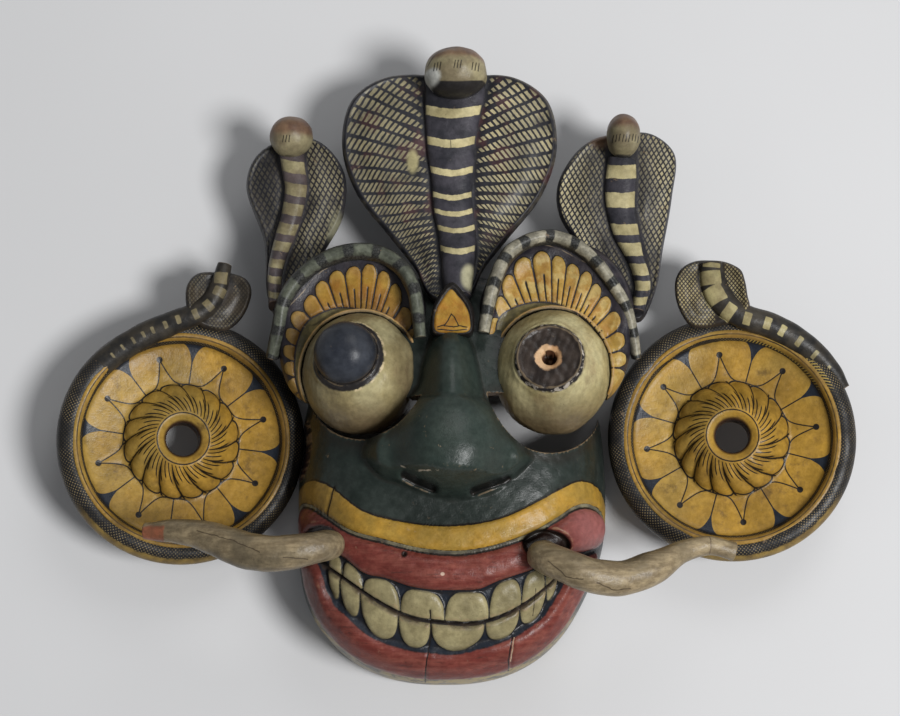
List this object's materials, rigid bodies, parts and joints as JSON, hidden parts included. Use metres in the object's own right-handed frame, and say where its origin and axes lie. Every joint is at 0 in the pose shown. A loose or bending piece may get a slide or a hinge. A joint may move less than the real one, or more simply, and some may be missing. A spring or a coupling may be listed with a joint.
{
  "type": "cobra demon dance mask",
  "caption": "Carved and painted wooden demon mask with a cobra crest, bulging eyes, a wide toothed mouth, curved tusks and dished rosette ears, hollow behind.",
  "frame": {"origin": "on the surface the mask lies on, under the middle of its length and width", "axes": "+X to the right as the mask is looked at, +Y from the chin to the crest, +Z out of the face"},
  "size_m": [0.4958, 0.394, 0.1305],
  "materials": {
    "face_paint": "worn satin paint",
    "ear_paint": "worn satin paint",
    "tusk_paint": "worn matt paint",
    "pupil_paint": "satin paint"
  },
  "bodies": {
    "root": {"face": "face_paint", "left_ear": "ear_paint", "right_ear": "ear_paint", "left_tusk": "tusk_paint", "right_tusk": "tusk_paint", "left_pupil": "pupil_paint"}
  },
  "joints": []
}
